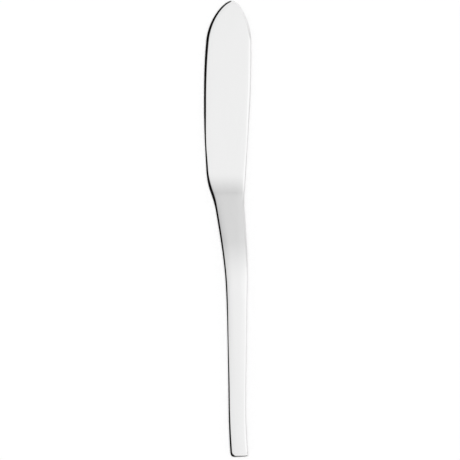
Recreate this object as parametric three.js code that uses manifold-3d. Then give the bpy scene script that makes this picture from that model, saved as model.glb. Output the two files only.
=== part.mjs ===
// Fish knife: a flat, blunt-edged blade whose tang is brazed into a slim solid handle.
// Millimetres, +Z up. The knife lies on its side: tip towards +Y, cutting edge towards -X, spine towards +X.
import * as THREE from 'three';
import { mergeVertices } from 'three/addons/utils/BufferGeometryUtils.js';
import Module from 'manifold-3d';

// Lengths along the knife. The seam is where the blade meets the handle.
const HANDLE_LENGTH = 119.1;
const BLADE_LENGTH = 86;
const WAIST_FROM_BUTT = 27;
const HAFT_FROM_SEAM = 41;
const NECK_FROM_SEAM = 9;
const HEEL_FROM_SEAM = 10;
const BELLY_FROM_TIP = 47;
const SHOULDER_FROM_TIP = 18;

// Widths of the outline at its stations.
const BUTT_WIDTH = 8.15;
const WAIST_WIDTH = 8.05;
const GRIP_WIDTH = 8.77;
const HAFT_WIDTH = 10.05;
const NECK_WIDTH = 13.1;
const SEAM_WIDTH = 15.5;
const HEEL_WIDTH = 18.05;
const BELLY_WIDTH = 20.85;
const SHOULDER_WIDTH = 20.35;

// How far the middle of the outline lies from the straight axis of the knife, positive towards the spine.
const BUTT_SHIFT = 5.25;
const WAIST_SHIFT = 4.15;
const GRIP_SHIFT = 4.1;
const HAFT_SHIFT = 3.9;
const NECK_SHIFT = 1.12;
const SEAM_SHIFT = -0.18;
const HEEL_SHIFT = -0.78;
const BELLY_SHIFT = -0.45;
const SHOULDER_SHIFT = 0.35;
const TIP_SHIFT = 1.8;

// Butt: the size of its corners, how squarely each turns, and how much its end rises towards the spine.
const BUTT_CORNER = 2.4;
const EDGE_CORNER_TURN = 0.6;
const SPINE_CORNER_TURN = 1;
const BUTT_RISE = 0.44;

// Tip: how far each side keeps its direction as it turns in, and how broadly it rounds the point.
const EDGE_SIDE_RUN = 10.2;
const EDGE_TIP_ROUND = 3.4;
const SPINE_SIDE_RUN = 7.5;
const SPINE_TIP_ROUND = 3.3;

// Thickness: flat blade, hollow root that rises to the seam, straight ramp, soft crest, flat handle.
const BLADE_THICKNESS = 1.7;
const HANDLE_THICKNESS = 5.6;
const ROOT_LENGTH = 10;
const RAMP_LENGTH = 22;
const CREST_LENGTH = 28;

// Edges: over a strip beside the outline both faces curve down to this angle. The blunt wall between them is
// crowned.
const EDGE_ANGLE = 28;
const WALL_CROWN = 0.12;
const BUTT_END_STRIP = 0.72;
const BUTT_STRIP = 0.95;
const HANDLE_STRIP = 0.75;
const GRIP_STRIP = 0.57;
const NECK_STRIP = 1;
const SEAM_STRIP = 1.5;
const HEEL_STRIP = 0.87;
const BELLY_STRIP = 1.1;
const SHOULDER_STRIP = 1.42;
const TIP_STRIP = 0.65;

// Joint: the tang sits in the handle's slot with a film of braze all round it.
const TANG_LENGTH = 24;
const TANG_WIDTH = 6;
const TANG_THICKNESS = 1;
const TANG_ROOT = 3;
const BRAZE_FILM = 0.15;
const SLOT_WALL = 0.46;

// Fineness of the facets.
const WALL_FACETS = 2;
const EDGE_FACETS = 4;
const CORNER_STEPS = 6;
const STEPS_TO = { waist: 6, grip: 6, haft: 6, neck: 16, seam: 6, heel: 8, belly: 8, shoulder: 8 };
const TIP_STEPS = 16;

// Within this reach of the seam the edges turn square to the axis, so that both pieces end in a flat face.
const SEAM_SQUARING = 6;

// Places measured from the butt, and the thickness that the seam needs for slot, braze and tang.
const SEAM = HANDLE_LENGTH;
const TIP = HANDLE_LENGTH + BLADE_LENGTH;
const HAFT = SEAM - HAFT_FROM_SEAM;
const GRIP = (WAIST_FROM_BUTT + HAFT) / 2;
const SEAM_THICKNESS = TANG_THICKNESS + 2 * (BRAZE_FILM + SLOT_WALL);
const EDGE_SLOPE = Math.tan(THREE.MathUtils.degToRad(EDGE_ANGLE));

// The leans are the sideways run of the edge side and of the spine side for each millimetre of length.
const station = (at, width, shift, strip, lean, rise = 0) => ({ at, width, shift, strip, lean, rise });
const STATIONS = {
  butt: station(0, BUTT_WIDTH, BUTT_SHIFT, BUTT_STRIP, [-0.09, -0.1], BUTT_RISE),
  waist: station(WAIST_FROM_BUTT, WAIST_WIDTH, WAIST_SHIFT, HANDLE_STRIP, [-0.01, 0.01]),
  grip: station(GRIP, GRIP_WIDTH, GRIP_SHIFT, GRIP_STRIP, [-0.02, 0.015]),
  haft: station(HAFT, HAFT_WIDTH, HAFT_SHIFT, HANDLE_STRIP, [-0.06, 0.02]),
  neck: station(SEAM - NECK_FROM_SEAM, NECK_WIDTH, NECK_SHIFT, NECK_STRIP, [-0.165, -0.07]),
  seam: station(SEAM, SEAM_WIDTH, SEAM_SHIFT, SEAM_STRIP, [-0.37, 0.07]),
  heel: station(SEAM + HEEL_FROM_SEAM, HEEL_WIDTH, HEEL_SHIFT, HEEL_STRIP, [-0.06, 0.06]),
  belly: station(TIP - BELLY_FROM_TIP, BELLY_WIDTH, BELLY_SHIFT, BELLY_STRIP, [0, 0.055]),
  shoulder: station(TIP - SHOULDER_FROM_TIP, SHOULDER_WIDTH, SHOULDER_SHIFT, SHOULDER_STRIP, [0.1, 0]),
};

const mix = THREE.MathUtils.lerp;

// One side of the outline: side -1 is the cutting edge, side +1 the spine.
function sideOf({ at, width, shift, lean, rise }, side) {
  return {
    point: new THREE.Vector2(shift + (side * width) / 2, side < 0 ? at : at + rise),
    lean: lean[side < 0 ? 0 : 1],
  };
}

// A cubic between two stations, with handles at thirds so that its height runs evenly with its parameter.
function span(from, to, side) {
  const start = sideOf(from, side);
  const end = sideOf(to, side);
  const third = (end.point.y - start.point.y) / 3;
  return new THREE.CubicBezierCurve(
    start.point,
    new THREE.Vector2(start.point.x + start.lean * third, start.point.y + third),
    new THREE.Vector2(end.point.x - end.lean * third, end.point.y - third),
    end.point,
  );
}

// The rounded corner from the flat end of the butt into the side.
function buttCorner(side) {
  const corner = sideOf(STATIONS.butt, side).point;
  const alongEnd = new THREE.Vector2(1, BUTT_RISE / BUTT_WIDTH);
  const flatEnd = corner.clone().addScaledVector(alongEnd, -side * BUTT_CORNER);
  const sideEnd = span(STATIONS.butt, STATIONS.waist, side).getPoint(BUTT_CORNER / WAIST_FROM_BUTT);
  const turn = side < 0 ? EDGE_CORNER_TURN : SPINE_CORNER_TURN;
  return new THREE.CubicBezierCurve(
    flatEnd,
    flatEnd.clone().lerp(corner, turn),
    sideEnd.clone().lerp(corner, turn),
    sideEnd,
  );
}

// The sweep from the shoulder into the tip, which it meets square to the axis.
function tipSweep(side) {
  const shoulder = sideOf(STATIONS.shoulder, side);
  const run = side < 0 ? EDGE_SIDE_RUN : SPINE_SIDE_RUN;
  const round = side < 0 ? EDGE_TIP_ROUND : SPINE_TIP_ROUND;
  return new THREE.CubicBezierCurve(
    shoulder.point,
    new THREE.Vector2(shoulder.point.x + shoulder.lean * run, shoulder.point.y + run),
    new THREE.Vector2(TIP_SHIFT + side * round, TIP),
    new THREE.Vector2(TIP_SHIFT, TIP),
  );
}

function halfThickness(y) {
  const fromSeam = SEAM - y;
  if (fromSeam < 0) {
    const rise = Math.max(0, 1 + fromSeam / ROOT_LENGTH);
    return mix(BLADE_THICKNESS, SEAM_THICKNESS, rise * rise) / 2;
  }
  const slope = (HANDLE_THICKNESS - SEAM_THICKNESS) / 2 / (RAMP_LENGTH + CREST_LENGTH / 2);
  const crest = THREE.MathUtils.clamp((fromSeam - RAMP_LENGTH) / CREST_LENGTH, 0, 1);
  const run = Math.min(fromSeam, RAMP_LENGTH) + CREST_LENGTH * (crest - (crest * crest) / 2);
  return SEAM_THICKNESS / 2 + slope * run;
}

// The worked edge at one point of the outline, from the lower face round to the upper face. The wall draws in
// as the square of the height, up to the crown at its rim. The strip drops as the square of the way out.
function edgeProfile(point, inward, strip) {
  const half = halfThickness(point.y);
  const rimDrop = (EDGE_SLOPE * strip) / 2;
  const corner = (inset, drop) => {
    const place = point.clone().addScaledVector(inward, inset);
    return new THREE.Vector3(place.x, place.y, halfThickness(place.y) - drop);
  };
  const upper = [];
  for (let k = 1; k < WALL_FACETS; k += 1) {
    const share = k / WALL_FACETS;
    upper.push(corner(WALL_CROWN * share ** 2, mix(half, rimDrop, share)));
  }
  for (let k = 0; k <= EDGE_FACETS; k += 1) {
    const share = k / EDGE_FACETS;
    upper.push(corner(WALL_CROWN + strip * share, rimDrop * (1 - share) ** 2));
  }
  const lower = upper.map(({ x, y, z }) => new THREE.Vector3(x, y, -z)).reverse();
  return [...lower, corner(0, half), ...upper];
}

// The direction into the metal, turned square to the axis near the seam.
function inwardNormal(curve, t, side, y) {
  const tangent = curve.getTangent(t);
  const square = THREE.MathUtils.smoothstep(Math.abs(y - SEAM), 0, SEAM_SQUARING);
  return new THREE.Vector2(-side * tangent.y, side * tangent.x * square).normalize();
}

// One ring of the body: the cutting-edge profile upwards, then the spine profile downwards.
function ring(edgeCurve, spineCurve, t, strip) {
  const profiles = [[edgeCurve, -1], [spineCurve, 1]].map(([curve, side]) => {
    const point = curve.getPoint(t);
    return edgeProfile(point, inwardNormal(curve, t, side, point.y), strip);
  });
  return [...profiles[0], ...profiles[1].reverse()];
}

// The last ring: both sides share one profile at the tip.
function tipRing() {
  const profile = edgeProfile(new THREE.Vector2(TIP_SHIFT, TIP), new THREE.Vector2(0, -1), TIP_STRIP);
  return [...profile, ...[...profile].reverse()];
}

// Rings at even steps along a pair of curves, from a given start to their ends, with the strip's width mixed.
function ringsAlong(edgeCurve, spineCurve, strips, steps, start = 0) {
  const rings = [];
  for (let k = 0; k <= steps; k += 1) {
    const t = mix(start, 1, k / steps);
    rings.push(ring(edgeCurve, spineCurve, t, mix(strips.from, strips.to, t)));
  }
  return rings;
}

function ringsBetween(from, to, steps, start = 0) {
  return ringsAlong(span(from, to, -1), span(from, to, 1), { from: from.strip, to: to.strip }, steps, start);
}

// A closed skin over the rings. An open end is closed by strips that join each side's profile to the other's.
function loft(rings, closeEnd) {
  const size = rings[0].length;
  const positions = rings.flat().flatMap((corner) => corner.toArray());
  const faces = [];
  const quad = (a, b, c, d) => faces.push([a, b, c], [a, c, d]);
  for (let row = 0; row + 1 < rings.length; row += 1) {
    for (let j = 0; j < size; j += 1) {
      const next = (j + 1) % size;
      quad(row * size + j, row * size + next, (row + 1) * size + next, (row + 1) * size + j);
    }
  }
  const last = (rings.length - 1) * size;
  for (let j = 0; j + 1 < size / 2; j += 1) {
    quad(j, size - 1 - j, size - 2 - j, j + 1);
    if (closeEnd) {
      quad(last + j, last + j + 1, last + size - 2 - j, last + size - 1 - j);
    }
  }
  const geometry = new THREE.BufferGeometry();
  geometry.setAttribute('position', new THREE.Float32BufferAttribute(positions, 3));
  geometry.setIndex(faces.flat());
  return geometry;
}

const wasm = await Module();
wasm.setup();

// A closed mesh as a solid for joining and cutting, with its collapsed facets left out.
function toSolid(geometry) {
  const bare = geometry.clone();
  bare.deleteAttribute('normal');
  bare.deleteAttribute('uv');
  const merged = mergeVertices(bare);
  const index = merged.index.array;
  const kept = [];
  for (let k = 0; k < index.length; k += 3) {
    const [a, b, c] = [index[k], index[k + 1], index[k + 2]];
    if (a !== b && b !== c && c !== a) {
      kept.push(a, b, c);
    }
  }
  return new wasm.Manifold(new wasm.Mesh({
    numProp: 3,
    vertProperties: new Float32Array(merged.attributes.position.array),
    triVerts: new Uint32Array(kept),
  }));
}

function toMesh(solid, name, material) {
  const { vertProperties, triVerts } = solid.getMesh();
  const indexed = new THREE.BufferGeometry();
  indexed.setAttribute('position', new THREE.BufferAttribute(vertProperties, 3));
  indexed.setIndex(new THREE.BufferAttribute(triVerts, 1));
  const geometry = indexed.toNonIndexed();
  geometry.computeVertexNormals();
  const mesh = new THREE.Mesh(geometry, material);
  mesh.name = name;
  return mesh;
}

// A flat tongue along the middle of the neck, leaning with the middle of the handle behind it.
function tongue(width, thickness, from, to) {
  const lean = (SEAM_SHIFT - HAFT_SHIFT) / HAFT_FROM_SEAM;
  const geometry = new THREE.BoxGeometry(width, to - from, thickness);
  geometry.translate(0, (from + to) / 2 - SEAM, 0);
  geometry.applyMatrix4(new THREE.Matrix4().makeShear(0, 0, lean, 0, 0, 0));
  geometry.translate(SEAM_SHIFT, SEAM, 0);
  return toSolid(geometry);
}

const { butt, waist, grip, haft, neck, seam, heel, belly, shoulder } = STATIONS;

function bladeBody() {
  const tipStrips = { from: SHOULDER_STRIP, to: TIP_STRIP };
  return toSolid(loft([
    ...ringsBetween(seam, heel, STEPS_TO.heel),
    ...ringsBetween(heel, belly, STEPS_TO.belly).slice(1),
    ...ringsBetween(belly, shoulder, STEPS_TO.shoulder).slice(1),
    ...ringsAlong(tipSweep(-1), tipSweep(1), tipStrips, TIP_STEPS).slice(1, -1),
    tipRing(),
  ], false));
}

function handleBody() {
  const buttStrips = { from: BUTT_END_STRIP, to: BUTT_STRIP };
  return toSolid(loft([
    ...ringsAlong(buttCorner(-1), buttCorner(1), buttStrips, CORNER_STEPS),
    ...ringsBetween(butt, waist, STEPS_TO.waist, BUTT_CORNER / WAIST_FROM_BUTT).slice(1),
    ...ringsBetween(waist, grip, STEPS_TO.grip).slice(1),
    ...ringsBetween(grip, haft, STEPS_TO.haft).slice(1),
    ...ringsBetween(haft, neck, STEPS_TO.neck).slice(1),
    ...ringsBetween(neck, seam, STEPS_TO.seam).slice(1),
  ], true));
}

const tangEnd = SEAM - TANG_LENGTH;
const slotEnd = tangEnd - BRAZE_FILM;
const slotWidth = TANG_WIDTH + 2 * BRAZE_FILM;
const slotThickness = TANG_THICKNESS + 2 * BRAZE_FILM;

const tang = tongue(TANG_WIDTH, TANG_THICKNESS, tangEnd, SEAM + TANG_ROOT);
const slotCut = tongue(slotWidth, slotThickness, slotEnd, SEAM + TANG_ROOT);
const slotFill = tongue(slotWidth, slotThickness, slotEnd, SEAM);

const brightSteel = { color: 0xeeeeec, roughness: 0.12, metalness: 1 };
const bladeSteel = new THREE.MeshStandardMaterial(brightSteel);
const handleSteel = new THREE.MeshStandardMaterial(brightSteel);
const silverBraze = new THREE.MeshStandardMaterial({ color: 0xd8cfae, roughness: 0.4, metalness: 1 });

const knife = new THREE.Group();
knife.add(toMesh(bladeBody().add(tang), 'blade', bladeSteel));
knife.add(toMesh(handleBody().subtract(slotCut), 'handle', handleSteel));
knife.add(toMesh(slotFill.subtract(tang), 'tang_braze', silverBraze));

// The origin lies under the middle of the knife, on the surface that it rests on.
const box = new THREE.Box3().setFromObject(knife);
const middle = box.getCenter(new THREE.Vector3());
knife.position.set(-middle.x, -middle.y, -box.min.z);

export default knife;
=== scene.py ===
"""Fish knife in polished steel, lying flat on a white table and seen from straight above.

Places along the knife are distances from its butt, in millimetres. From there to the tip come the flat
handle, the crest and the ramp that lead down to the neck, the seam where the blade's tang enters the
handle, the flat blade and its rounded point.
"""

import math
from functools import partial
from itertools import pairwise
from typing import NamedTuple

import bmesh
import bpy
import numpy as np
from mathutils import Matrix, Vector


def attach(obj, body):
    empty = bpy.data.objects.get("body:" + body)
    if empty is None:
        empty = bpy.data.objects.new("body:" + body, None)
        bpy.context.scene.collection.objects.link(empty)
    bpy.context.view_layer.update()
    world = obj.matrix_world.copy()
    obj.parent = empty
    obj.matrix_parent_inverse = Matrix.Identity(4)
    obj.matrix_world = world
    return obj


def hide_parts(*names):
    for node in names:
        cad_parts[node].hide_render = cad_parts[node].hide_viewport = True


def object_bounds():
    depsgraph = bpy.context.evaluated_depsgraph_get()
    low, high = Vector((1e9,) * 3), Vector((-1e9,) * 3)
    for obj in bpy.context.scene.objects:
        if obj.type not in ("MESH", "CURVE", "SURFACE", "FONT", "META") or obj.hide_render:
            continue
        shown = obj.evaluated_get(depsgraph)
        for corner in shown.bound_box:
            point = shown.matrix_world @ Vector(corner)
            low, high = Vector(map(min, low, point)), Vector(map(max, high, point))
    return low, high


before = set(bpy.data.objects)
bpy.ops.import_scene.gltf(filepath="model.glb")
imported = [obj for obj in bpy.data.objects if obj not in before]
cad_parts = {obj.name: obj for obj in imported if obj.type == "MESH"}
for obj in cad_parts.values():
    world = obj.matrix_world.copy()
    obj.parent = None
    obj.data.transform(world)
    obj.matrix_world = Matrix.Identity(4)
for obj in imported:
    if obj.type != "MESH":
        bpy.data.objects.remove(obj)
cad_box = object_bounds()

MM = 0.001

# The two long sides of the outline, as signs across the knife.
CUTTING, SPINE = -1, 1
SIDES = (CUTTING, SPINE)

# Places along the knife. The seam is where the blade meets the handle.
SEAM = 119.1
TIP = 205.1
WAIST = 27.0
HAFT = SEAM - 41.0
GRIP = (WAIST + HAFT) / 2
NECK = SEAM - 9.0
HEEL = SEAM + 10.0
CHEEK = SEAM + 21.0
BELLY = TIP - 47.0
SHOULDER = TIP - 18.0

# Thicknesses, and the lengths over which they change: the blade's hollow root, the handle's straight ramp
# and its soft crest. The start of the ramp is dressed: right at the seam it is steeper by this share.
BLADE_THICKNESS = 1.7
SEAM_THICKNESS = 2.22
HANDLE_THICKNESS = 5.6
ROOT_LENGTH = 10.0
RAMP_LENGTH = 22.0
CREST_LENGTH = 28.0
DRESSING_LENGTH = 2.0
DRESSING_GAIN = 0.22

# Corners of the butt: how far they reach along the end and the sides, what share of the side up to the
# waist that is, and how squarely each of them turns.
BUTT_CORNER = 2.4
CORNER_SHARE = BUTT_CORNER / WAIST
CORNER_TURN = {CUTTING: 0.72, SPINE: 1.0}

# Tip: the shift of its point towards the spine, how far each side keeps its direction past the shoulder,
# and how broadly it rounds into the point.
TIP_SHIFT = 1.8
TIP_RUN = {CUTTING: 10.2, SPINE: 7.5}
TIP_ROUND = {CUTTING: 3.4, SPINE: 3.3}

# Worked edges: over a strip beside the outline each face curves down to this slope and ends in a rounded
# arris. The wall between the two arrises is crowned. Within the last of these distances from the seam, the
# strips turn square to the axis.
STRIP_SLOPE = math.tan(math.radians(28))
ARRIS = 0.07
WALL_CROWN = 0.12
SEAM_SQUARING = 6.0

# Widths of the strip at both ends of the knife: along the butt, in the middle of its corners, where the
# last turn into the point starts, and at the point. The shares say where the second and the third of them
# lie on their curves.
BUTT_END_STRIP = {CUTTING: 0.83, SPINE: 0.66}
CORNER_STRIP = {CUTTING: 1.1, SPINE: 0.68}
TIP_STRIP = {CUTTING: 0.78, SPINE: 0.35}
APEX_STRIP = {CUTTING: 0.45, SPINE: 0.45}
CORNER_MIDDLE = 0.5
APEX_START = 0.86

# Polishing takes a little off each face within this distance of its sides.
ROLL_REACH = 3.8

# Joint: the tang inside the handle's slot, with a film of braze around it.
TANG_WIDTH = 6.0
TANG_THICKNESS = 1.0
TANG_END = SEAM - 24.0
BRAZE_FILM = 0.15


class Station(NamedTuple):
    """A place along the outline.

    It lies at a distance from the butt, and its middle is shifted towards the spine. The strip is the width
    that is worked beside the outline, of which the spine may have only a share. The roll is what polishing
    took off at the sides. The lean is the sideways run of each side for a millimetre of length, and the
    rise is how much further along the spine's own point lies.
    """

    at: float
    width: float
    shift: float
    strip: float
    roll: float
    lean: dict
    rise: float = 0.0
    spine_share: float = 1.0

    def strips(self):
        """Width of the strip on each side."""
        return {CUTTING: self.strip, SPINE: self.strip * self.spine_share}

    def point(self, side):
        """Where one side of the outline passes the station."""
        rise = self.rise if side == SPINE else 0
        return np.array([self.shift + side * self.width / 2, self.at + rise])


BUTT_STATION = Station(at=0.0, width=8.15, shift=5.25, strip=0.95, roll=0.045,
                       lean={CUTTING: -0.09, SPINE: -0.1}, rise=0.44)
WAIST_STATION = Station(at=WAIST, width=8.05, shift=4.15, strip=0.75, roll=0.05,
                        lean={CUTTING: -0.01, SPINE: 0.01})
GRIP_STATION = Station(at=GRIP, width=8.77, shift=4.1, strip=0.57, roll=0.075,
                       lean={CUTTING: -0.02, SPINE: 0.015})
HAFT_STATION = Station(at=HAFT, width=10.05, shift=3.9, strip=0.75, roll=0.1,
                       lean={CUTTING: -0.06, SPINE: 0.02})
NECK_STATION = Station(at=NECK, width=13.1, shift=1.12, strip=1.0, roll=0.04,
                       lean={CUTTING: -0.165, SPINE: -0.07})
SEAM_STATION = Station(at=SEAM, width=15.5, shift=-0.18, strip=1.5, roll=0.03,
                       lean={CUTTING: -0.37, SPINE: 0.07}, spine_share=0.7)
HEEL_STATION = Station(at=HEEL, width=18.05, shift=-0.78, strip=1.0, roll=0.02,
                       lean={CUTTING: -0.06, SPINE: 0.06})
CHEEK_STATION = Station(at=CHEEK, width=19.32, shift=-0.745, strip=0.78, roll=0.02,
                        lean={CUTTING: -0.047, SPINE: 0.061})
BELLY_STATION = Station(at=BELLY, width=20.85, shift=-0.45, strip=1.18, roll=0.02,
                        lean={CUTTING: 0.0, SPINE: 0.055})
SHOULDER_STATION = Station(at=SHOULDER, width=20.35, shift=0.35, strip=1.35, roll=0.02,
                           lean={CUTTING: 0.1, SPINE: 0.0}, spine_share=0.74)
HANDLE_STATIONS = [BUTT_STATION, WAIST_STATION, GRIP_STATION, HAFT_STATION, NECK_STATION, SEAM_STATION]
BLADE_STATIONS = [SEAM_STATION, HEEL_STATION, CHEEK_STATION, BELLY_STATION, SHOULDER_STATION]
STATIONS = HANDLE_STATIONS + BLADE_STATIONS[1:]

# Fineness of the surfaces: a step along the outline, rows round its ends, columns over its section, and
# points on each span of the lines that the polishing is measured from.
ROW_STEP = 0.4
CORNER_ROWS = 14
TIP_ROWS = 60
APEX_ROWS = 20
FACE_COLUMNS = 14
WALL_COLUMNS = 5
ARRIS_COLUMNS = 5
STRIP_COLUMNS = 12
EDGE_POINTS = WALL_COLUMNS + ARRIS_COLUMNS + STRIP_COLUMNS + 1
LINE_STEPS = 60

# Points of a finished surface that are closer than this, in metres, become one. An edge that turns by more
# than this angle is shaded as sharp.
MERGE_DISTANCE = 1e-6
SHARP_ANGLE = math.radians(40)

# Finish of the steel: cells a metre across, along and up of its fine lines, its haze and its slow waves,
# and what lines and haze add to its reflectance and its roughness.
LINE_CELLS = (5200.0, 70.0, 5200.0)
HAZE_CELLS = (160.0, 60.0, 160.0)
WAVE_CELLS = (55.0, 28.0, 55.0)
STEEL_REFLECTANCE, LINE_REFLECTANCE, HAZE_REFLECTANCE = 0.818, 0.06, 0.03
STEEL_ROUGHNESS, LINE_ROUGHNESS, HAZE_ROUGHNESS = 0.05, 0.04, 0.04

# Finish of the braze: cells a metre of its mottling, its two colours, and what the mottling adds to its
# roughness.
MOTTLE_CELLS = (900.0, 900.0, 900.0)
BRAZE_DARK = (0.62, 0.55, 0.34, 1)
BRAZE_PALE = (0.78, 0.72, 0.5, 1)
BRAZE_ROUGHNESS, MOTTLE_ROUGHNESS = 0.3, 0.2

# Relief of both metals: its height in metres, the part of the lines in it, and its strength on the braze.
RELIEF_HEIGHT = 4e-5
LINE_RELIEF = 0.03
MOTTLE_RELIEF = 0.4

# Studio: the table's size in metres, its colour, and its lift towards plain white where it is seen. Then
# the levels of an overhead lamp and of a fill light: at a sum of 1, a matt surface shows its own colour.
TABLE_SIZE = 40.0
TABLE_COLOUR = (0.95, 0.95, 0.95, 1)
TABLE_LIFT = 0.2
PLAIN_WHITE = (1, 1, 1, 1)
LAMP_LEVEL = 0.6
LAMP_ANGLE = math.radians(16)
FILL_LEVEL = 0.47

# Roof of the tent that the steel mirrors. Its ranges are slopes from straight up.
ROOF_LEVEL = 0.98
TIP_GAIN, TIP_RANGE = 0.05, (-0.05, 0.05)
SPINE_GAIN, SPINE_RANGE = 0.12, (0.0, 0.12)
BEAM_DEPTH, BEAM_START, BEAM_STOP = 0.29, (0.02, 0.13), (0.13, 0.22)

# Walls of the tent, which take over from the roof within a range of slopes. Their other ranges are of the
# rise over the table.
WALL_RANGE = (0.85, 1.3)
SWEEP_LEVEL = 0.9
FOOT_LEVEL, FOOT_RANGE = 0.35, (0.0, 0.1)
BOX_LEVEL, BOX_RANGE = 0.9, (0.12, 0.55)
GAP_LEVEL, GAP_RANGE = 0.66, (0.5, 0.58)

# Flags in the tent: how much light each of them takes, the slopes over which it starts, and how much of a
# direction has to point to its side. Both stop over the same slopes.
EDGE_FLAG_DEPTH, EDGE_FLAG_START, EDGE_FLAG_TURN = 0.995, (0.02, 0.25), (-0.1, 0.5)
BUTT_FLAG_DEPTH, BUTT_FLAG_START, BUTT_FLAG_TURN = 0.85, (0.28, 0.6), (0.2, 0.9)
FLAG_STOP = (1.6, 2.0)

# Least rise of a direction, and a little that keeps its spread above 0, so that both can be divided by.
LEAST_RISE = 0.02
LEAST_SPREAD_SQUARED = 1e-9

# Camera: a long lens, with its distance in metres. The sensor, the frame's width and middle, and the height
# that they are measured at are in millimetres.
SENSOR_WIDTH = 36.0
CAMERA_DISTANCE = 3.0
FRAME_WIDTH = 206.34
VIEW_CENTRE = (1.1825, -0.55)
VIEW_PLANE = 3.6


def smoothstep(value, low, high):
    """0 below low, 1 above high, and the cubic 3u^2 - 2u^3 between them."""
    share = np.clip((value - low) / (high - low), 0, 1)
    return share * share * (3 - 2 * share)


def eased(first, last, share):
    """From first to last as the share goes from 0 to 1, level at both ends."""
    return first + (last - first) * smoothstep(share, 0, 1)


def fading(share):
    """The rise of a slope that starts at 1 and dies out evenly at a share of 1: u - u^2 / 2."""
    share = np.clip(share, 0, 1)
    return share - share ** 2 / 2


def parabola(first, middle, last, t):
    """From first to last on a parabola whose tangents at its ends meet at middle."""
    return first * (1 - t) ** 2 + 2 * middle * t * (1 - t) + last * t ** 2


def bezier(controls, t):
    """Points of a Bezier curve at the values t: control points are mixed in pairs until one is left."""
    points = [np.asarray(control, float) + 0 * t[:, None] for control in controls]
    while len(points) > 1:
        points = [first + (last - first) * t[:, None] for first, last in pairwise(points)]
    return points[0]


def tangents(controls, t):
    """Directions of a Bezier curve at the values t: the curve of the steps between its control points."""
    return bezier(np.diff(np.array(controls), axis=0), t)


def half_thickness(y):
    """Height of the upper face over the middle plane at a distance y from the butt.

    Flat blade; a root that rises as the square of the way to the seam; a straight ramp, dressed a little
    steeper next to the seam; a crest whose slope dies out evenly, which makes it a parabola; flat handle.
    """
    from_seam = SEAM - y
    rise = np.clip(1 + from_seam / ROOT_LENGTH, 0, 1)
    root = BLADE_THICKNESS + (SEAM_THICKNESS - BLADE_THICKNESS) * rise ** 2
    dressing = DRESSING_LENGTH * fading(from_seam / DRESSING_LENGTH)
    crest = CREST_LENGTH * fading((from_seam - RAMP_LENGTH) / CREST_LENGTH)
    run = np.minimum(from_seam, RAMP_LENGTH) + crest + DRESSING_GAIN * dressing
    full_run = RAMP_LENGTH + (CREST_LENGTH + DRESSING_GAIN * DRESSING_LENGTH) / 2
    handle = SEAM_THICKNESS + (HANDLE_THICKNESS - SEAM_THICKNESS) * run / full_run
    return np.where(from_seam < 0, root, handle) / 2


def span(start, end, side):
    """Control points of the cubic between two stations, with handles a third of the way along the leans."""
    first, last = start.point(side), end.point(side)
    third = (last[1] - first[1]) / 3
    leave = np.array([start.lean[side], 1]) * third
    arrive = np.array([end.lean[side], 1]) * third
    return [first, first + leave, last - arrive, last]


def butt_corner(side):
    """Control points of the cubic that rounds a corner of the butt.

    Its handles run along the end and along the side. The turn is the share that they reach of the way to
    where they would meet.
    """
    corner = BUTT_STATION.point(side)
    flat = corner - np.array([1, BUTT_STATION.rise / BUTT_STATION.width]) * side * BUTT_CORNER
    whole_side = span(BUTT_STATION, WAIST_STATION, side)
    share = np.array([CORNER_SHARE])
    side_end = bezier(whole_side, share)[0]
    direction = tangents(whole_side, share)[0]
    meeting = side_end - direction / direction[1] * (side_end[1] - corner[1])
    turn = CORNER_TURN[side]
    return [flat, flat + (corner - flat) * turn, side_end + (meeting - side_end) * turn, side_end]


def tip_sweep(side):
    """Control points of the cubic from the shoulder into the tip, which it meets square to the axis."""
    first = SHOULDER_STATION.point(side)
    leave = np.array([SHOULDER_STATION.lean[side], 1]) * TIP_RUN[side]
    return [first, first + leave, [TIP_SHIFT + side * TIP_ROUND[side], TIP], [TIP_SHIFT, TIP]]


def side_line(side):
    """Points of one side from the butt to the tip, before the corner at the butt is rounded."""
    t = np.linspace(0, 1, LINE_STEPS)
    curves = [span(start, end, side) for start, end in pairwise(STATIONS)]
    return np.concatenate([bezier(controls, t) for controls in curves + [tip_sweep(side)]])


def polished(points):
    """Points drawn towards the middle plane by what the polishing took off.

    At a face that is the station's roll times the square of the way out over the last ROLL_REACH beside the
    nearer side. Down the walls it fades in proportion to the height.
    """
    x, y, z = np.moveaxis(points, -1, 0)
    lines = {side: side_line(side) for side in SIDES}
    to_sides = [side * (np.interp(y, line[:, 1], line[:, 0]) - x) for side, line in lines.items()]
    way_out = np.clip(1 - np.minimum(*to_sides) / ROLL_REACH, 0, 1)
    roll = np.interp(y, [station.at for station in STATIONS], [station.roll for station in STATIONS])
    return np.stack([x, y, z * (1 - roll * way_out ** 2 / half_thickness(y))], axis=-1)


def side_rows(controls, t, side):
    """Points of one side at t and unit directions from them into the metal.

    A direction is the tangent turned by a quarter. Near the seam it turns square to the axis, so that both
    pieces end there in one flat face.
    """
    point = bezier(controls, t)
    tangent = tangents(controls, t)
    square = smoothstep(np.abs(point[:, 1] - SEAM), 0, SEAM_SQUARING)
    inward = np.stack([-side * tangent[:, 1], side * tangent[:, 0] * square], axis=1)
    return point, inward / np.linalg.norm(inward, axis=1, keepdims=True)


def corner_rows(controls, t, side):
    """Points of a corner of the butt at t and directions from them into the metal.

    The directions turn with a cubic of their own from square to the end to square to the side, by way of
    the mitre between the two. So a strip that is wider than the corner is round has no fold there.
    """
    first, last = side_rows(controls, np.array([0.0, 1.0]), side)[1]
    mitre = (first + last) / (1 + first @ last)
    handles = [end + (mitre - end) * CORNER_TURN[side] for end in (first, last)]
    return bezier(controls, t), bezier([first, *handles, last], t)


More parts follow.
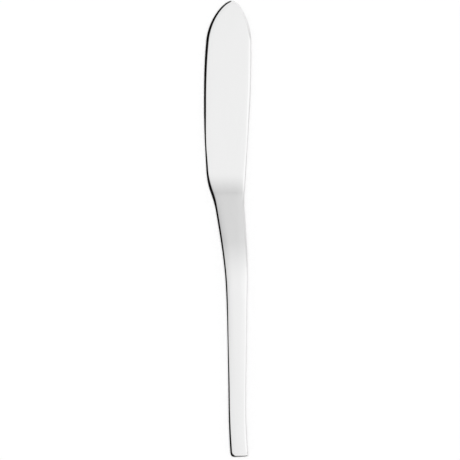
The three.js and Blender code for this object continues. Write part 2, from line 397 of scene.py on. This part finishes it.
def stretch(curve, first, last, rows, start=0.0, stop=1.0, place=side_rows):
    """Rows of one stretch of the outline: for each side its points, its directions inwards and its strip.

    The controls that curve gives for a side are turned into points and directions by place, from start to
    stop on the curve. The strip eases from its first width on that side to its last.
    """
    share = np.linspace(0, 1, rows + 1)
    t = start + (stop - start) * share
    return [(*place(curve(side), t, side), eased(first[side], last[side], share)) for side in SIDES]


def between(start, end, first_t=0.0):
    """The stretch between two stations, in steps of about ROW_STEP."""
    rows = math.ceil((end.at - start.at) * (1 - first_t) / ROW_STEP)
    return stretch(partial(span, start, end), start.strips(), end.strips(), rows, first_t)


def worked_edge(point, inward, strip):
    """Rows of the edge from the middle of its wall to the face.

    The wall draws in as the square of the height, up to the crown at its rim. The strip drops as the square
    of the way out from the face. A parabola between the two rounds the arris where they meet.
    """
    strip = strip[:, None]
    half = half_thickness(point[:, 1:])
    rim_drop = STRIP_SLOPE * strip / 2
    rim_height = half - rim_drop
    wall_share = (1 - ARRIS / rim_height) * np.linspace(0, 1, WALL_COLUMNS + 1)
    wall_inset = WALL_CROWN * wall_share ** 2
    wall_drop = half - rim_height * wall_share
    strip_way = ARRIS + (strip - ARRIS) * np.linspace(0, 1, STRIP_COLUMNS + 1)
    strip_drop = rim_drop * (1 - strip_way / strip) ** 2
    t = np.linspace(0, 1, ARRIS_COLUMNS + 1)[1:-1]
    arris_inset = parabola(wall_inset[:, -1:], WALL_CROWN, WALL_CROWN + ARRIS, t)
    arris_drop = parabola(wall_drop[:, -1:], rim_drop, strip_drop[:, :1], t)
    inset = np.concatenate([wall_inset, arris_inset, WALL_CROWN + strip_way], axis=1)
    drop = np.concatenate([wall_drop, arris_drop, strip_drop], axis=1)
    place = point[:, None] + inward[:, None] * inset[:, :, None]
    height = half_thickness(place[:, :, 1]) - drop
    return np.concatenate([place, height[:, :, None]], axis=2)


def upper_skin(stretches):
    """Rows of the upper half: edge wall and strip, flat lines across the face, spine strip and wall."""
    across = np.linspace(0, 1, FACE_COLUMNS + 2)[1:-1, None]
    skins = []
    for sides in stretches:
        edge, spine = (worked_edge(*side) for side in sides)
        face = edge[:, -1:] + (spine[:, -1:] - edge[:, -1:]) * across
        skins.append(np.concatenate([edge, face, spine[:, ::-1]], axis=1))
    return np.concatenate(skins)


def all_round(skin):
    """The upper rows and their mirror image below the middle plane, joined into closed rings."""
    lower = skin[:, ::-1] * [1, 1, -1]
    return np.concatenate([skin, lower[:, 1:]], axis=1)


def end_wall(skin_row):
    """The wall between the two side profiles of one row: each level runs straight from edge to spine."""
    halves = skin_row[:EDGE_POINTS], skin_row[::-1][:EDGE_POINTS]
    edge, spine = (np.concatenate([half[:0:-1] * [1, 1, -1], half]) for half in halves)
    across = np.linspace(0, 1, FACE_COLUMNS + 2)[:, None]
    return edge[:, None] + (spine - edge)[:, None] * across


def tongue_ring(ring, width, thickness, y):
    """A ring of the body pressed onto a rectangle, whose middle follows the line from haft to seam.

    The ring's points move straight out from its middle to the rectangle around it.
    """
    middle = (ring.min(axis=0) + ring.max(axis=0)) / 2
    reach = (ring.max(axis=0) - ring.min(axis=0)) / 2
    a, b = (ring[:, 0] - middle[0]) / reach[0], ring[:, 2] / reach[2]
    outwards = np.maximum(np.abs(a), np.abs(b))
    lean = (SEAM_STATION.shift - HAFT_STATION.shift) / (SEAM - HAFT)
    x = SEAM_STATION.shift + lean * (y - SEAM) + a / outwards * width / 2
    return np.stack([x, y + 0 * a, b / outwards * thickness / 2], axis=1)


def tongue(ring, width, thickness, end):
    """Rows of a flat tongue from the seam to its end.

    The end closes on a line that lies half a thickness inside its outline.
    """
    sections = [(width, thickness, SEAM), (width, thickness, end), (width - thickness, 0, end)]
    return np.stack([tongue_ring(ring, *section) for section in sections])


def blade_grids():
    """The blade from its seam to the tip, and the tang that runs back from the seam."""
    skin = upper_skin([
        *(between(start, end) for start, end in pairwise(BLADE_STATIONS)),
        stretch(tip_sweep, SHOULDER_STATION.strips(), TIP_STRIP, TIP_ROWS, stop=APEX_START),
        stretch(tip_sweep, TIP_STRIP, APEX_STRIP, APEX_ROWS, start=APEX_START),
    ])
    rings = polished(all_round(skin))
    tang = tongue(rings[0], TANG_WIDTH, TANG_THICKNESS, TANG_END)
    return [np.concatenate([tang[::-1], rings])]


def handle_grids():
    """The handle from its butt to the seam, with the slot for the tang, and the wall of the butt."""
    corner = partial(stretch, butt_corner, rows=CORNER_ROWS, place=corner_rows)
    skin = upper_skin([
        corner(first=BUTT_END_STRIP, last=CORNER_STRIP, stop=CORNER_MIDDLE),
        corner(first=CORNER_STRIP, last=BUTT_STATION.strips(), start=CORNER_MIDDLE),
        between(BUTT_STATION, WAIST_STATION, CORNER_SHARE),
        *(between(start, end) for start, end in pairwise(HANDLE_STATIONS[1:])),
    ])
    rings = polished(all_round(skin))
    slot_width, slot_thickness = TANG_WIDTH + 2 * BRAZE_FILM, TANG_THICKNESS + 2 * BRAZE_FILM
    slot = tongue(rings[-1], slot_width, slot_thickness, TANG_END - BRAZE_FILM)
    return [np.concatenate([rings, slot]), polished(end_wall(skin[0]))]


def centring(grids):
    """The way from the middle of the box round these grids to the middle of the box round the solids."""
    points = np.concatenate([grid.reshape(-1, 3) for grid in grids])
    low, high = (np.array(corner) for corner in cad_box)
    return (low + high) / 2 - (points.min(axis=0) + points.max(axis=0)) / 2 * MM


def make_piece(name, grids, origin):
    """An object from grids of points that meet along their rims: doubles merged, faces turned outwards."""
    corners, faces, count = [], [], 0
    for grid in grids:
        rows, columns = grid.shape[:2]
        index = np.arange(rows * columns).reshape(rows, columns) + count
        quads = np.stack([index[:-1, :-1], index[:-1, 1:], index[1:, 1:], index[1:, :-1]], axis=-1)
        corners.append(grid.reshape(-1, 3))
        faces.append(quads.reshape(-1, 4))
        count += rows * columns
    mesh = bpy.data.meshes.new(name)
    mesh.from_pydata((np.concatenate(corners) * MM + origin).tolist(), [], np.concatenate(faces).tolist())
    solid = bmesh.new()
    solid.from_mesh(mesh)
    bmesh.ops.remove_doubles(solid, verts=solid.verts, dist=MERGE_DISTANCE)
    bmesh.ops.recalc_face_normals(solid, faces=solid.faces)
    solid.to_mesh(mesh)
    solid.free()
    mesh.shade_smooth()
    mesh.set_sharp_from_angle(angle=SHARP_ANGLE)
    piece = bpy.data.objects.new(name, mesh)
    bpy.context.scene.collection.objects.link(piece)
    return piece


class Wire:
    """An output socket that takes part in Python arithmetic: each operator adds a Math node."""

    def __init__(self, graph, socket):
        self.graph = graph
        self.socket = socket

    def out(self, name):
        """Another output of the same node."""
        return Wire(self.graph, self.socket.node.outputs[name])

    def maths(self, operation, first, second):
        """The output of a Math node on two wires or numbers."""
        return self.graph.node("ShaderNodeMath", {0: first, 1: second}, operation=operation)

    def __add__(self, other):
        return self.maths("ADD", self, other)

    def __radd__(self, other):
        return self.maths("ADD", other, self)

    def __sub__(self, other):
        return self.maths("SUBTRACT", self, other)

    def __rsub__(self, other):
        return self.maths("SUBTRACT", other, self)

    def __mul__(self, other):
        return self.maths("MULTIPLY", self, other)

    def __rmul__(self, other):
        return self.maths("MULTIPLY", other, self)

    def __truediv__(self, other):
        return self.maths("DIVIDE", self, other)

    def __pow__(self, other):
        return self.maths("POWER", self, other)

    def at_least(self, low):
        """The value, or low where that is more."""
        return self.maths("MAXIMUM", self, low)

    def clamped(self):
        """The value, kept between 0 and 1."""
        return self.graph.node("ShaderNodeClamp", {"Value": self})

    def smooth(self, low, high):
        """0 at low, 1 at high, eased between them."""
        return self.graph.node("ShaderNodeMapRange", {"Value": self, "From Min": low, "From Max": high},
                               interpolation_type="SMOOTHSTEP")


class Graph:
    """The node tree of one material or of the world."""

    def __init__(self, owner):
        owner.use_nodes = True
        self.tree = owner.node_tree
        self.tree.nodes.clear()

    def node(self, kind, inputs=None, output=0, **settings):
        """Add a node: its settings first, then the values or links of its sockets. Gives one output."""
        made = self.tree.nodes.new(kind)
        for name, value in settings.items():
            setattr(made, name, value)
        for key, value in (inputs or {}).items():
            if isinstance(value, Wire):
                self.tree.links.new(value.socket, made.inputs[key])
            else:
                made.inputs[key].default_value = value
        return Wire(self, made.outputs[output]) if made.outputs else None

    def noise(self, cells, detail):
        """Noise on the object's own coordinates, with this many cells a metre along X, Y and Z."""
        place = self.node("ShaderNodeTexCoord").out("Object")
        vector = self.node("ShaderNodeMapping", {"Vector": place, "Scale": cells})
        return self.node("ShaderNodeTexNoise", {"Vector": vector, "Scale": 1.0, "Detail": detail})

    def grey(self, value):
        """A colour with the same value in each channel."""
        return self.node("ShaderNodeCombineColor", {"Red": value, "Green": value, "Blue": value})

    def metal(self, colour, roughness, relief, strength):
        """The surface of a metal with a colour, a roughness and a relief that change over it."""
        bump = self.node("ShaderNodeBump", {
            "Height": relief, "Strength": strength, "Distance": RELIEF_HEIGHT})
        shader = self.node("ShaderNodeBsdfPrincipled", {
            "Base Color": colour, "Metallic": 1.0, "Roughness": roughness, "Normal": bump})
        self.node("ShaderNodeOutputMaterial", {"Surface": shader})


def polished_steel():
    """Bright steel polished along its length: fine lengthwise lines, a faint haze and a slow waviness."""
    material = bpy.data.materials.new("polished_steel")
    graph = Graph(material)
    lines = graph.noise(LINE_CELLS, detail=3.0)
    haze = graph.noise(HAZE_CELLS, detail=4.0)
    waves = graph.noise(WAVE_CELLS, detail=1.0)
    reflectance = STEEL_REFLECTANCE + LINE_REFLECTANCE * lines + HAZE_REFLECTANCE * haze
    roughness = STEEL_ROUGHNESS + LINE_ROUGHNESS * lines + HAZE_ROUGHNESS * haze
    graph.metal(graph.grey(reflectance), roughness, relief=waves + LINE_RELIEF * lines, strength=1.0)
    return material


def silver_braze():
    """Pale yellowish braze, mottled as it flowed."""
    material = bpy.data.materials.new("silver_braze")
    graph = Graph(material)
    mottle = graph.noise(MOTTLE_CELLS, detail=3.0)
    colour = graph.node("ShaderNodeMix", {"Factor": mottle, "A": BRAZE_DARK, "B": BRAZE_PALE},
                        output="Result", data_type="RGBA")
    graph.metal(colour, BRAZE_ROUGHNESS + MOTTLE_ROUGHNESS * mottle, relief=mottle, strength=MOTTLE_RELIEF)
    return material


def table_white():
    """Matt white for the table: its own shading, so that a soft shadow stays.

    Where the camera or a reflection sees it, it is lifted towards plain white.
    """
    material = bpy.data.materials.new("table_white")
    graph = Graph(material)
    matt = graph.node("ShaderNodeBsdfDiffuse", {"Color": TABLE_COLOUR})
    white = graph.node("ShaderNodeEmission", {"Color": PLAIN_WHITE, "Strength": 1.0})
    path = graph.node("ShaderNodeLightPath")
    seen = path.out("Is Camera Ray") + path.out("Is Glossy Ray") + path.out("Is Transmission Ray")
    lift = seen.clamped() * TABLE_LIFT
    shader = graph.node("ShaderNodeMixShader", {0: lift, 1: matt, 2: white})
    graph.node("ShaderNodeOutputMaterial", {"Surface": shader})
    return material


def tent_roof(across, along):
    """The roof: brighter towards the tip and towards the spine, and dim where a beam crosses it."""
    beam = along.smooth(*BEAM_START) * (1 - along.smooth(*BEAM_STOP))
    spine_side = 1 + SPINE_GAIN * across.smooth(*SPINE_RANGE) * (1 - beam)
    return (ROOF_LEVEL + TIP_GAIN * along.smooth(*TIP_RANGE)) * spine_side * (1 - BEAM_DEPTH * beam)


def tent_wall(rise):
    """The walls from the table up: a bright sweep, a dark foot, a bright box and a grey gap above it."""
    foot = SWEEP_LEVEL + (FOOT_LEVEL - SWEEP_LEVEL) * rise.smooth(*FOOT_RANGE)
    box = (BOX_LEVEL - FOOT_LEVEL) * rise.smooth(*BOX_RANGE)
    gap = (GAP_LEVEL - BOX_LEVEL) * rise.smooth(*GAP_RANGE)
    return foot + box + gap


def past_flags(across, along, spread):
    """What two flags let through: a black one on the cutting edge's side, a grey one towards the butt."""
    edge_flag = spread.smooth(*EDGE_FLAG_START) * (-1 * across / spread).smooth(*EDGE_FLAG_TURN)
    butt_flag = spread.smooth(*BUTT_FLAG_START) * (-1 * along / spread).smooth(*BUTT_FLAG_TURN)
    flags = (1 - EDGE_FLAG_DEPTH * edge_flag) * (1 - BUTT_FLAG_DEPTH * butt_flag)
    return flags + (1 - flags) * spread.smooth(*FLAG_STOP)


def studio_world():
    """A white tent for what the steel mirrors, plain white for the camera, an even fill for the rest.

    A direction is told by its rise over the table and by its slopes from straight up: across towards the
    spine, along towards the tip, and the spread of the two together.
    """
    world = bpy.data.worlds.new("studio")
    bpy.context.scene.world = world
    graph = Graph(world)
    direction = graph.node("ShaderNodeTexCoord").out("Generated")
    axes = graph.node("ShaderNodeSeparateXYZ", {"Vector": direction})
    rise = axes.out("Z")
    up = rise.at_least(LEAST_RISE)
    across, along = axes.out("X") / up, axes.out("Y") / up
    spread = (across * across + along * along + LEAST_SPREAD_SQUARED) ** 0.5
    roof = tent_roof(across, along)
    tent = roof + (tent_wall(rise) - roof) * spread.smooth(*WALL_RANGE)
    level = tent * past_flags(across, along, spread)
    path = graph.node("ShaderNodeLightPath")
    glossy = path.out("Is Glossy Ray") * (1 - path.out("Diffuse Depth").clamped())
    camera = path.out("Is Camera Ray")
    seen = glossy * level + camera + (1 - glossy) * (1 - camera) * FILL_LEVEL
    background = graph.node("ShaderNodeBackground", {"Color": graph.grey(seen), "Strength": 1.0})
    graph.node("ShaderNodeOutputWorld", {"Surface": background})


def add_table():
    """A flat square table under the knife."""
    half = TABLE_SIZE / 2
    corners = [(-half, -half, 0), (half, -half, 0), (half, half, 0), (-half, half, 0)]
    mesh = bpy.data.meshes.new("table")
    mesh.from_pydata(corners, [], [(0, 1, 2, 3)])
    table = bpy.data.objects.new("table", mesh)
    table.data.materials.append(table_white())
    bpy.context.scene.collection.objects.link(table)


def add_lamp():
    """A broad soft lamp far overhead, which the steel doesn't mirror."""
    light = bpy.data.lights.new("overhead_lamp", "SUN")
    light.angle = LAMP_ANGLE
    light.energy = LAMP_LEVEL * math.pi
    lamp = bpy.data.objects.new("overhead_lamp", light)
    lamp.visible_glossy = False
    bpy.context.scene.collection.objects.link(lamp)


def add_camera():
    """A long lens straight above, with the tip at the top of the picture."""
    lens = bpy.data.cameras.new("camera")
    lens.sensor_width = SENSOR_WIDTH
    lens.lens = SENSOR_WIDTH * CAMERA_DISTANCE / (FRAME_WIDTH * MM)
    camera = bpy.data.objects.new("camera", lens)
    camera.location = (VIEW_CENTRE[0] * MM, VIEW_CENTRE[1] * MM, CAMERA_DISTANCE + VIEW_PLANE * MM)
    bpy.context.scene.collection.objects.link(camera)
    bpy.context.scene.camera = camera


bpy.context.scene.view_settings.view_transform = "Standard"

blade_points, handle_points = blade_grids(), handle_grids()
origin = centring(blade_points + handle_points)
steel = polished_steel()
for node, grids in (("blade", blade_points), ("handle", handle_points)):
    piece = make_piece("steel_" + node, grids, origin)
    piece.data.materials.append(steel)
    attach(piece, "root")
    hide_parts(node)

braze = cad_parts["tang_braze"]
braze.data.materials.clear()
braze.data.materials.append(silver_braze())

studio_world()
add_table()
add_lamp()
add_camera()
